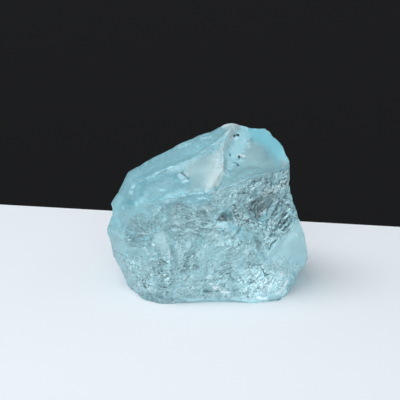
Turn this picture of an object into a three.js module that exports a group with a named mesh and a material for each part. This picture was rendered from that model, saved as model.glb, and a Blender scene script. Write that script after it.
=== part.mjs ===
// A rough piece of sky-blue topaz, broken out of a larger crystal: one clear solid bounded by fracture faces.
// Millimetres, +Z up, +X to the right, -Y towards the front. The stone rests on its flat cleavage face, z = 0.
import * as THREE from "three";
import { ImprovedNoise } from "three/addons/math/ImprovedNoise.js";
import { mergeVertices } from "three/addons/utils/BufferGeometryUtils.js";

// Driving dimensions.
const STONE_WIDTH = 38; // tip to tip, left to right
const FINE_STEP = 1.3; // longest triangle edge on a hackly face
const COARSE_STEP = 2.1; // longest triangle edge on a glassy face
const EDGE_WANDER = 0.34; // how far a broken edge strays from the straight line between its corners
const WANDER_LENGTH = 3.1; // the size of those bends
const FLAT_MARGIN = 2.2; // height above the resting face over which the wander fades in
const HACKLE_LENGTH = 2.6; // the size of the steps on a torn face
const GRAIN_STRETCH = 2.6; // how much longer those steps are along their grain
const HACKLE_MARGIN = 0.7; // distance from a face's outline over which its steps fade in

const at = (x, y, z) => new THREE.Vector3(x, y, z);

// Corners, grouped by the ridge line that they lie on.
// The rim of the cleavage face on which the stone rests, from front left round by the right.
const foot = [
  at(-12.4, -11.6, 0),
  at(-9.1, -14.3, 0),
  at(-6.6, -14.4, 0),
  at(-1.0, -13.1, 0),
  at(4.0, -13.0, 0),
  at(8.2, -14.2, 0),
  at(12.6, -13.2, 0),
  at(14.6, -9.2, 0),
  at(15.8, -2.0, 0),
  at(13.0, 6.5, 0),
  at(5.5, 10.8, 0),
  at(-5.0, 11.2, 0),
  at(-12.0, 7.6, 0),
  at(-15.4, 0.0, 0),
  at(-15.0, -5.6, 0),
];
// The chipped lip of the front foot, a little above the table.
const lip = [at(-0.5, -13.9, 0.7), at(3.9, -13.9, 0.7)];
// The skyline, from the left shoulder up to the peak.
const crown = [
  at(-15.2, 3.5, 20.0),
  at(-11.0, 3.5, 22.4),
  at(-6.8, 3.0, 24.8),
  at(-1.8, 2.0, 27.6),
  at(0.7, 1.8, 28.35),
  at(3.4, 1.5, 29.8),
];
// The top rim of the scoop, from the peak down to the right shoulder.
const rim = [at(4.7, 1.0, 30.1), at(7.7, 2.0, 28.85), at(10.6, 2.0, 28.75), at(13.8, 1.0, 26.0), at(15.1, -2.0, 23.4)];
// The bevel line under the crown band.
const bevel = [at(-14.2, -2.0, 20.0), at(-9.6, -5.5, 22.4), at(-3.0, -6.0, 25.1), at(0.8, -4.0, 27.3), at(4.5, -2.0, 29.9)];
// The frosted facet's left and lower corners.
const facet = [at(-5.3, -8.0, 22.3), at(-3.0, -12.0, 21.0)];
// The sharp ridge between the frosted facet and the scoop.
const ridge = [at(2.6, -5.5, 27.1), at(2.6, -9.0, 23.6), at(0.0, -12.3, 21.0)];
// The brow, where the sloping top breaks over into the front wall, and the scoop's lower rim beyond it.
const brow = [
  at(-7.9, -12.0, 17.4),
  at(-5.3, -12.3, 19.4),
  at(-1.5, -12.8, 20.2),
  at(1.1, -12.8, 20.6),
  at(4.3, -12.0, 21.9),
  at(9.2, -10.0, 23.1),
  at(14.8, -6.0, 23.9),
];
// The left end: its tip and notch, the cheek above, and the curved lower edge of the deep left lens.
const leftEnd = [at(-19.0, -4.0, 10.6), at(-18.1, -1.5, 13.2), at(-18.6, 2.0, 14.1), at(-17.5, 3.0, 15.9), at(-17.8, -5.0, 6.2)];
const lens = [at(-17.2, -7.0, 10.7), at(-15.5, -9.0, 10.2), at(-12.9, -11.0, 10.2), at(-9.5, -12.5, 11.6)];
const flank = at(-12.9, -10.0, 17.4);
// The upright ridge down the front wall, and the corners of the bright facet and hackly ground left of it.
const upright = [at(-8.1, -12.8, 14.1), at(-6.9, -14.0, 9.3), at(-5.3, -14.2, 7.0)];
const lowerLeft = [at(-15.1, -10.0, 6.2), at(-11.0, -13.3, 7.2), at(-9.5, -13.8, 8.5)];
// The edges that divide the front wall.
const wall = [at(2.6, -13.0, 18.2), at(1.1, -13.6, 14.9), at(-0.9, -14.0, 11.7), at(6.1, -14.5, 11.3)];
// The smooth lower right facet.
const toe = [at(17.0, -5.0, 12.4), at(13.4, -10.0, 11.3), at(9.6, -14.0, 7.0), at(16.0, -8.0, 3.1)];
// The right end, down its outline.
const rightEnd = [at(14.7, -5.0, 19.9), at(18.7, -3.0, 7.0), at(19.0, -2.0, 5.1), at(18.2, -1.0, 2.6)];
// The back: the edge of its top slope, its middle, its foot, and its right and left flanks.
const backTop = [at(10.0, 7.5, 25.5), at(1.0, 9.5, 24.5), at(-7.5, 11.0, 18.5), at(-14.0, 8.5, 14.5)];
const backMiddle = [at(11.0, 12.0, 15.5), at(3.0, 14.3, 13.0), at(-10.5, 12.8, 7.5)];
const backFoot = [at(9.5, 12.4, 5.5), at(-1.0, 13.4, 2.6), at(-12.8, 10.6, 3.0)];
const backRight = [at(14.2, 6.5, 20.5), at(16.3, 6.5, 13.0), at(17.8, 5.0, 6.0), at(15.5, 8.5, 3.0)];
const backLeft = [at(-17.5, 6.5, 9.5), at(-16.0, 5.0, 3.5)];

// Fracture faces. loop: its corners in order. dish: how deep its middle is hollowed, negative where it bulges.
// hackle: height of the torn relief, 0 on a glassy face. grain: the direction in which the relief is drawn out.
const UP_RIGHT = at(0.75, 0, 0.66);
const LEVEL = at(1, 0, 0.15);
const UPRIGHT = at(0.2, 0.3, 1);
const faces = [
  // the sloping top
  { loop: [bevel[0], bevel[1], bevel[2], crown[3], crown[2], crown[1], crown[0]], dish: 0.3 },
  { loop: [bevel[2], bevel[3], bevel[4], crown[5], crown[4], crown[3]], dish: 0.25 },
  { loop: [bevel[4], rim[1], rim[0], crown[5]], dish: 0.1 },
  { loop: [facet[1], ridge[2], ridge[1], ridge[0], bevel[3], bevel[2], facet[0]], dish: 0.7 },
  { loop: [ridge[0], bevel[4], bevel[3]], dish: 0 },
  { loop: [facet[0], bevel[2], bevel[1]], dish: 0.1 },
  { loop: [brow[1], brow[2], brow[3], ridge[2], facet[1]], dish: 0.1 },
  {
    loop: [ridge[2], brow[3], brow[4], brow[5], brow[6], rim[4], rim[3], rim[2], rim[1], bevel[4], ridge[0], ridge[1]],
    dish: 2.0,
  },
  { loop: [flank, brow[0], brow[1], facet[1], facet[0], bevel[1], bevel[0]], dish: -0.3, hackle: 0.2, grain: LEVEL },
  // the left end
  { loop: [leftEnd[3], flank, bevel[0], crown[0]], dish: -0.3 },
  { loop: [leftEnd[2], leftEnd[1], flank, leftEnd[3]], dish: -0.1 },
  { loop: [leftEnd[1], lens[0], lens[1], lens[2], flank], dish: -0.3 },
  { loop: [lens[2], lens[3], upright[0], brow[0], flank], dish: 0.3, hackle: 0.3, grain: LEVEL },
  { loop: [leftEnd[0], lens[0], leftEnd[1]], dish: 0 },
  { loop: [leftEnd[0], leftEnd[4], foot[14], lowerLeft[0], lens[1], lens[0]], dish: 0.3 },
  // the lower left front
  { loop: [lens[1], lowerLeft[0], lowerLeft[1], lowerLeft[2], lens[3], lens[2]], dish: 0.3, hackle: 0.25, grain: LEVEL },
  { loop: [lowerLeft[2], upright[1], upright[0], lens[3]], dish: 0.25 },
  {
    loop: [foot[0], foot[1], foot[2], upright[2], upright[1], lowerLeft[2], lowerLeft[1]],
    dish: -0.6,
    hackle: 0.6,
    grain: LEVEL,
  },
  { loop: [lowerLeft[0], foot[0], lowerLeft[1]], dish: 0, hackle: 0.2, grain: LEVEL },
  { loop: [foot[14], foot[0], lowerLeft[0]], dish: 0.1 },
  // the front wall
  {
    loop: [upright[0], upright[1], upright[2], wall[2], wall[1], wall[0], brow[3], brow[2], brow[1], brow[0]],
    dish: 1.2,
    hackle: 0.35,
    grain: LEVEL,
  },
  { loop: [foot[2], lip[0], wall[2], upright[2]], dish: -0.2, hackle: 0.3, grain: LEVEL },
  { loop: [lip[0], lip[1], wall[3], wall[1], wall[2]], dish: 0.6, hackle: 0.4, grain: UP_RIGHT },
  { loop: [lip[1], foot[5], toe[2], wall[3]], dish: 0.5, hackle: 0.4, grain: UP_RIGHT },
  { loop: [wall[3], toe[2], toe[1]], dish: 0.1, hackle: 0.3, grain: UP_RIGHT },
  { loop: [foot[3], foot[4], lip[1], lip[0]], dish: 0 },
  { loop: [foot[2], foot[3], lip[0]], dish: 0 },
  { loop: [foot[4], foot[5], lip[1]], dish: 0 },
  {
    loop: [wall[1], wall[3], toe[1], toe[0], rightEnd[0], brow[6], brow[5], brow[4], brow[3], wall[0]],
    dish: 0.8,
    hackle: 0.8,
    grain: UP_RIGHT,
  },
  { loop: [toe[2], toe[3], rightEnd[2], rightEnd[1], toe[0], toe[1]], dish: 0.2 },
  { loop: [foot[5], foot[6], foot[7], toe[3], toe[2]], dish: -0.4, hackle: 0.5, grain: UP_RIGHT },
  { loop: [foot[7], foot[8], rightEnd[3], rightEnd[2], toe[3]], dish: 0.2 },
  // the right side
  { loop: [brow[6], rightEnd[0], rim[4]], dish: 0 },
  { loop: [rightEnd[0], toe[0], backRight[1], backRight[0], rim[4]], dish: 1.2 },
  { loop: [rim[4], backRight[0], rim[3]], dish: 0.1 },
  { loop: [toe[0], rightEnd[1], rightEnd[2], backRight[2], backRight[1]], dish: 0.4 },
  { loop: [rightEnd[2], rightEnd[3], backRight[2]], dish: 0 },
  { loop: [rightEnd[3], foot[8], foot[9], backRight[3], backRight[2]], dish: 0.2, hackle: 0.2, grain: UPRIGHT },
  // the back
  { loop: [rim[3], backRight[0], backTop[0], rim[2]], dish: 0.3 },
  { loop: [rim[0], rim[1], rim[2], backTop[0], backTop[1], crown[5]], dish: 0.5 },
  {
    loop: [crown[5], backTop[1], backTop[2], backTop[3], crown[0], crown[1], crown[2], crown[3], crown[4]],
    dish: 1.3,
  },
  { loop: [crown[0], backTop[3], leftEnd[2], leftEnd[3]], dish: 0.2 },
  { loop: [leftEnd[2], backTop[3], backLeft[0]], dish: 0.1 },
  { loop: [leftEnd[2], backLeft[0], leftEnd[1]], dish: 0.1 },
  { loop: [leftEnd[1], backLeft[0], leftEnd[0]], dish: 0.1 },
  { loop: [leftEnd[0], backLeft[0], backLeft[1], foot[13], foot[14], leftEnd[4]], dish: 0.5 },
  { loop: [backTop[2], backTop[3], backLeft[0], backMiddle[2]], dish: 0.9 },
  { loop: [backTop[1], backTop[2], backMiddle[2], backMiddle[1]], dish: 1.0, hackle: 0.25, grain: UPRIGHT },
  { loop: [backTop[0], backTop[1], backMiddle[1], backMiddle[0]], dish: 0.5, hackle: 0.3, grain: UPRIGHT },
  { loop: [backRight[0], backTop[0], backMiddle[0], backRight[1]], dish: 0.4 },
  { loop: [backLeft[0], backLeft[1], backFoot[2], backMiddle[2]], dish: 0.3 },
  { loop: [backMiddle[2], backFoot[2], backFoot[1], backMiddle[1]], dish: 0.6, hackle: 0.3, grain: LEVEL },
  { loop: [backMiddle[1], backFoot[1], backFoot[0], backMiddle[0]], dish: 0.8 },
  { loop: [backMiddle[0], backFoot[0], backRight[3], backRight[2], backRight[1]], dish: 0.5, hackle: 0.3, grain: UPRIGHT },
  { loop: [backLeft[1], foot[13], foot[12], backFoot[2]], dish: 0.1 },
  { loop: [backFoot[2], foot[12], foot[11], backFoot[1]], dish: 0.1 },
  { loop: [backFoot[1], foot[11], foot[10], backFoot[0]], dish: 0.1 },
  { loop: [backFoot[0], foot[10], foot[9], backRight[3]], dish: 0.1 },
  // the cleavage face
  { loop: [...foot], dish: 0 },
];

const noise = new ImprovedNoise();
const middle = at(0, 0, 13);

// Turns a loop round if it runs the wrong way, and returns its outward normal, by Newell's sum.
function outwardNormal(loop) {
  const normal = at(0, 0, 0);
  const centre = at(0, 0, 0);
  loop.forEach((corner, i) => {
    normal.add(new THREE.Vector3().crossVectors(corner, loop[(i + 1) % loop.length]));
    centre.addScaledVector(corner, 1 / loop.length);
  });
  normal.normalize();
  if (normal.dot(centre.sub(middle)) < 0) {
    loop.reverse();
    normal.negate();
  }
  return normal;
}

// The loop cut into triangles, as seen along its normal.
function triangulate(loop, normal) {
  const side = new THREE.Vector3().crossVectors(at(0.31, 0.17, 0.94), normal).normalize();
  const up = new THREE.Vector3().crossVectors(normal, side);
  const outline = loop.map((corner) => new THREE.Vector2(corner.dot(side), corner.dot(up)));
  return THREE.ShapeUtils.triangulateShape(outline, []).map((triangle) => triangle.map((i) => loop[i]));
}

// The longest edge that each side of a loop may keep: the finer of the two faces that meet there.
const nameOf = (point) => point.toArray().join(" ");
const edgeName = (a, b) => [nameOf(a), nameOf(b)].sort().join(" to ");
const outlineSteps = new Map();
for (const face of faces) {
  const step = face.hackle ? FINE_STEP : COARSE_STEP;
  face.loop.forEach((corner, i) => {
    const name = edgeName(corner, face.loop[(i + 1) % face.loop.length]);
    outlineSteps.set(name, Math.min(outlineSteps.get(name) ?? step, step));
  });
}

// Halves the longest edge of a triangle until all are short enough. The half of an outline edge keeps that
// edge's limit, so two faces that share it halve it alike. Points on the outline are noted in onOutline.
function refine(triangle, step, onOutline) {
  const queue = [triangle];
  const done = [];
  while (queue.length) {
    const corners = queue.pop();
    const names = corners.map((corner, i) => edgeName(corner, corners[(i + 1) % 3]));
    const excess = corners.map((corner, i) => {
      return corner.distanceTo(corners[(i + 1) % 3]) / (outlineSteps.get(names[i]) ?? step);
    });
    const longest = excess.indexOf(Math.max(...excess));
    if (excess[longest] <= 1) {
      done.push(corners);
      continue;
    }
    const [a, b, c] = [0, 1, 2].map((i) => corners[(longest + i) % 3]);
    const half = a.clone().add(b).multiplyScalar(0.5);
    if (outlineSteps.has(names[longest])) {
      const limit = outlineSteps.get(names[longest]);
      outlineSteps.set(edgeName(a, half), limit);
      outlineSteps.set(edgeName(half, b), limit);
      onOutline.add(nameOf(half));
    }
    queue.push([a, half, c], [half, b, c]);
  }
  return done;
}

// How far a point lies in from the whole outline: nought on it and smooth everywhere inside.
function insetOf(point, loop) {
  const nearest = new THREE.Vector3();
  const side = new THREE.Line3();
  let sum = 0;
  loop.forEach((corner, i) => {
    side.set(corner, loop[(i + 1) % loop.length]).closestPointToPoint(point, true, nearest);
    sum += 1 / Math.max(point.distanceToSquared(nearest), 1e-9);
  });
  return 1 / Math.sqrt(sum);
}

// Torn relief at a point: sharp steps drawn out along the grain, between -1 and 1.
function hackleAt(point, grain) {
  const along = grain.clone().normalize();
  const drawnOut = point.clone().addScaledVector(along, -point.dot(along) * (1 - 1 / GRAIN_STRETCH));
  drawnOut.divideScalar(HACKLE_LENGTH);
  const broad = 1 - 2 * Math.abs(noise.noise(drawnOut.x, drawnOut.y, drawnOut.z));
  drawnOut.multiplyScalar(2.1);
  const fine = 1 - 2 * Math.abs(noise.noise(drawnOut.x + 7.3, drawnOut.y, drawnOut.z));
  return (2 * broad + fine) / 3;
}

// The whole stone strays a little from its straight edges, and stays flat where it rests.
function wander(point) {
  const [x, y, z] = point.clone().divideScalar(WANDER_LENGTH).toArray();
  const lift = THREE.MathUtils.smoothstep(point.z, 0, FLAT_MARGIN);
  const drift = at(noise.noise(x, y, z), noise.noise(x + 31.4, y, z), noise.noise(x, y + 57.7, z) * lift);
  return point.clone().addScaledVector(drift, EDGE_WANDER);
}

// One face as triangles: cut up, hollowed and torn, with its outline left in place.
function carve({ loop, dish, hackle = 0, grain = LEVEL }) {
  const normal = outwardNormal(loop);
  const onOutline = new Set(loop.map(nameOf));
  const step = hackle ? FINE_STEP : COARSE_STEP;
  const triangles = triangulate(loop, normal).flatMap((triangle) => refine(triangle, step, onOutline));
  const insets = new Map();
  for (const point of triangles.flat()) {
    insets.set(nameOf(point), onOutline.has(nameOf(point)) ? 0 : insetOf(point, loop));
  }
  const deepest = Math.max(...insets.values(), 1e-3);
  const carved = (point) => {
    const inset = insets.get(nameOf(point));
    const bowl = 1 - (1 - inset / deepest) ** 2;
    const torn = Math.min(1, inset / HACKLE_MARGIN) * hackleAt(point, grain);
    return wander(point.clone().addScaledVector(normal, hackle * torn - dish * bowl));
  };
  return triangles.map((triangle) => triangle.map(carved));
}

// The stone, set down with the middle of its foot's bounding box on the origin and scaled to its true width.
function makeStone() {
  const corners = faces.flatMap(carve).flat();
  const geometry = mergeVertices(new THREE.BufferGeometry().setFromPoints(corners), 1e-4);
  geometry.computeBoundingBox();
  const { min, max } = geometry.boundingBox;
  geometry.translate(-(min.x + max.x) / 2, -(min.y + max.y) / 2, -min.z);
  const scale = STONE_WIDTH / (max.x - min.x);
  return geometry.scale(scale, scale, scale);
}

const clearBlue = new THREE.MeshStandardMaterial({
  color: "#9fcbd8",
  roughness: 0.12,
  metalness: 0,
  transparent: true,
  opacity: 0.55,
  flatShading: true,
});

const topaz = new THREE.Group();
const stone = new THREE.Mesh(makeStone(), clearBlue);
stone.name = "topaz_crystal";
topaz.add(stone);

export default topaz;
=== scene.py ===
import math

import bpy
import numpy as np
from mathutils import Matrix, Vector, kdtree, noise


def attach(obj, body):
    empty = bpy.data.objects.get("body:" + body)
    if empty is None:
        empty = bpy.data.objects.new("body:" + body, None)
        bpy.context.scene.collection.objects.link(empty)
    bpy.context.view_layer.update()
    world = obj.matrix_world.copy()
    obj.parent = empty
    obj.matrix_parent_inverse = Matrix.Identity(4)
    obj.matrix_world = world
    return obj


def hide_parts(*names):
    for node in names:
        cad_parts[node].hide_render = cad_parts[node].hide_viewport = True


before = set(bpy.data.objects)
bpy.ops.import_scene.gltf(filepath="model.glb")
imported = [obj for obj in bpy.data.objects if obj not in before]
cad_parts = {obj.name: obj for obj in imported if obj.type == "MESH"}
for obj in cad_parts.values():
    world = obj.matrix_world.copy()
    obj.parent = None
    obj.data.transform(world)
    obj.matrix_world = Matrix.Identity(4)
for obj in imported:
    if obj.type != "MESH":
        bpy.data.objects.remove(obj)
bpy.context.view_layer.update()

# The stone: one broken piece of clear sky-blue topaz, a hard brittle crystal that lies loose on a flat face.
# Its faces are fractures: some are glassy and scooped, others are torn into fine steps. The CAD solid gives
# every face and ridge. Here its facets are rounded off between the ridges, and the torn faces get relief.
MM = 0.001  # a millimetre, in metres
MERGED_WITHIN = 0.005 * MM
FLAT_WITHIN = math.radians(0.5)  # facets that lie this flat to one another are one facet
RIDGE_ANGLE = math.radians(26)  # two facets that meet more sharply than this are a broken edge
RIDGE_CREASE = 0.9  # how well a broken edge keeps its line when the facets are rounded

bpy.ops.object.select_all(action="DESELECT")
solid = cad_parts["topaz_crystal"]
stone = bpy.data.objects.new("rough_topaz", solid.data.copy())
bpy.context.collection.objects.link(stone)
stone.select_set(True)
bpy.context.view_layer.objects.active = stone

bpy.ops.object.mode_set(mode="EDIT")
bpy.ops.mesh.select_all(action="SELECT")
bpy.ops.mesh.remove_doubles(threshold=MERGED_WITHIN)
bpy.ops.mesh.dissolve_limited(angle_limit=FLAT_WITHIN)
bpy.ops.mesh.select_all(action="DESELECT")
bpy.ops.mesh.edges_select_sharp(sharpness=RIDGE_ANGLE)
bpy.ops.transform.edge_crease(value=RIDGE_CREASE)
bpy.ops.object.mode_set(mode="OBJECT")

rounding = stone.modifiers.new("rounding", "SUBSURF")
rounding.levels = rounding.render_levels = 2
bpy.ops.object.modifier_apply(modifier="rounding")

# Small broken places, as strokes over the surface: half width in millimetres, strength, and the points that
# each runs through. The dark ones are pits, cracks and shadowed steps, cut in and painted with their shade.
# The pale ones are crushed edges and chips in part, and painted highlights on lit edges and glints in part.
DARK_STROKES = [
    # pit below the crest
    (0.2, 1, [(4.8, -1.5, 28.2), (5.2, -1.0, 28.25), (5.7, -0.4, 28.1)]),
    # dark line on the flank
    (0.14, 0.55, [(-9.5, -6.0, 21.9), (-8.7, -5.8, 22.3), (-7.7, -5.5, 22.8)]),
    # shadow line of the pale chip
    (0.13, 0.6, [(-5.0, -6.9, 22.7), (-4.4, -7.3, 22.5), (-3.5, -8.8, 22.1)]),
    # specks in the scoop
    (0.17, 0.8, [(4.0, -3.7, 25.3), (4.0, -3.9, 25.1)]),
    (0.2, 1, [(5.6, -2.5, 24.5), (5.6, -2.7, 24.3)]),
    (0.18, 0.8, [(2.6, -7.0, 24.8), (2.7, -7.2, 24.6)]),
    (0.2, 0.9, [(5.4, -4.2, 23.5), (5.4, -4.4, 23.4)]),
    (0.09, 0.4, [(4.3, -4.3, 23.9), (4.9, -3.8, 23.7)]),
    # strands along the brow
    (0.15, 0.2, [(-6.6, -11.6, 19.0), (-5.5, -11.7, 19.3), (-3.5, -11.5, 19.5)]),
    (0.11, 0.2, [(-10.4, -10.5, 17.4), (-9.1, -11.0, 18.0), (-7.6, -11.6, 18.0), (-5.5, -11.4, 18.2)]),
    (0.13, 0.3, [(-0.3, -12.0, 20.0), (0.6, -12.2, 20.4), (1.5, -11.1, 20.6), (2.2, -9.8, 21.3)]),
    # pit under the brow
    (0.19, 0.35, [(-5.7, -11.2, 17.2), (-5.8, -11.2, 16.2)]),
    # foot of the speckled lens
    (0.13, 0.15, [(-14.7, -9.2, 10.3), (-12.4, -10.4, 10.8), (-10.4, -11.4, 11.4)]),
    # streak across the speckled lens
    (0.1, 0.2, [(-14.3, -8.8, 10.8), (-13.0, -10.2, 11.4), (-11.3, -10.7, 12.0)]),
    # upper edge of the dark patch
    (0.11, 0.45, [(3.1, -12.2, 17.3), (4.1, -11.6, 17.7), (5.6, -11.0, 18.4), (6.4, -10.5, 19.1)]),
    # tail of the dark patch
    (0.12, 0.4, [(1.8, -13.1, 15.8), (1.1, -13.0, 15.0), (0.6, -12.8, 14.2)]),
    # lines across the lower pool
    (0.11, 0.35, [(-1.0, -12.3, 13.6), (0.6, -13.1, 13.9)]),
    (0.09, 0.35, [(-0.7, -12.7, 13.0), (0.6, -13.2, 13.6), (1.3, -13.1, 14.0)]),
    (0.09, 0.5, [(1.4, -13.2, 12.9), (2.4, -13.4, 13.4), (3.1, -13.4, 14.0)]),
    (0.11, 0.35, [(1.6, -13.2, 14.0), (2.3, -13.4, 14.0)]),
    # long slash across the middle of the wall
    (0.11, 0.5, [(4.1, -13.7, 12.1), (5.4, -12.8, 13.6), (6.3, -11.2, 14.3), (7.8, -10.1, 15.0)]),
    # streaks of the streaked side
    (0.17, 0.8, [(12.3, -8.2, 12.5), (13.1, -7.2, 13.2), (14.4, -6.1, 14.7)]),
    (0.15, 0.8, [(13.1, -7.6, 12.3), (14.0, -6.3, 13.0), (15.0, -5.9, 14.0)]),
    (0.15, 0.75, [(13.6, -7.4, 11.9), (14.6, -6.3, 12.4), (15.3, -5.7, 13.1)]),
    (0.15, 0.7, [(11.1, -10.0, 11.6), (12.1, -8.5, 12.2), (12.9, -7.6, 12.7)]),
    (0.17, 0.75, [(11.6, -7.6, 14.8), (12.5, -6.8, 15.9), (13.2, -6.5, 17.1)]),
    (0.13, 0.75, [(12.9, -6.5, 16.4), (13.6, -6.2, 16.1), (14.4, -5.6, 16.4), (15.0, -5.5, 16.0)]),
    (0.15, 0.75, [(10.5, -7.8, 14.9), (10.8, -7.5, 16.0), (11.5, -7.2, 17.0)]),
    (0.13, 0.7, [(10.6, -8.6, 13.8), (10.5, -9.1, 12.6)]),
    (0.15, 0.7, [(11.0, -11.6, 9.7), (11.4, -11.2, 10.5), (12.2, -10.6, 11.0)]),
    (0.09, 0.35, [(8.5, -10.5, 13.3), (9.7, -9.5, 14.1), (10.8, -8.4, 14.3)]),
    # crack over the bright corner
    (0.11, 0.5, [(6.3, -13.6, 7.8), (7.2, -13.5, 7.6), (7.9, -13.4, 7.2), (9.0, -13.4, 7.1),
                 (9.8, -13.1, 7.3)]),
    (0.1, 0.6, [(9.3, -13.3, 6.6), (9.9, -13.2, 6.2), (9.9, -13.1, 5.6), (10.5, -13.0, 5.3)]),
    (0.08, 0.5, [(10.5, -13.0, 5.3), (10.4, -13.0, 4.8), (10.9, -13.0, 4.4)]),
    (0.14, 0.5, [(10.2, -13.2, 5.1), (11.0, -12.8, 5.2)]),
    (0.09, 0.6, [(9.3, -13.3, 6.6), (9.8, -13.2, 6.1)]),
    # nicks along the foot
    (0.08, 0.4, [(3.6, -13.2, 5.5), (4.1, -13.4, 4.8)]),
    (0.08, 0.3, [(5.7, -13.2, 4.5), (6.1, -13.0, 5.1)]),
    (0.17, 0.4, [(7.3, -13.3, 3.6), (8.1, -13.3, 4.1)]),
    (0.17, 0.7, [(-0.8, -13.6, 2.4), (-0.1, -13.4, 2.1), (0.6, -13.4, 2.1)]),
    (0.11, 0.55, [(-0.1, -13.5, 1.7), (1.1, -13.5, 1.7)]),
    (0.11, 0.6, [(1.4, -13.3, 2.2), (1.7, -13.3, 2.2)]),
    (0.13, 0.45, [(-12.5, -11.2, 2.4), (-11.5, -12.3, 2.5)]),
    # shadowed step of the dark foot
    (0.25, 0.15, [(-11.4, -12.4, 1.4), (-9.5, -13.2, 1.5), (-8.2, -13.8, 1.0), (-6.3, -13.8, 0.8)]),
    # lone dots at both ends
    (0.17, 0.5, [(-17.5, -4.9, 6.9), (-17.4, -5.0, 6.7)]),
    (0.15, 0.6, [(18.7, -1.7, 4.5), (18.8, -1.2, 4.0)]),
    # fine nicks in the lower front
    (0.09, 0.5, [(7.4, -13.8, 10.0), (7.8, -13.8, 8.8)]),
    (0.09, 0.45, [(9.9, -12.1, 10.2), (9.6, -12.7, 9.3)]),
    # nick in the lower left
    (0.11, 0.45, [(-13.2, -10.8, 4.1), (-12.8, -11.1, 3.7)]),
]
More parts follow.
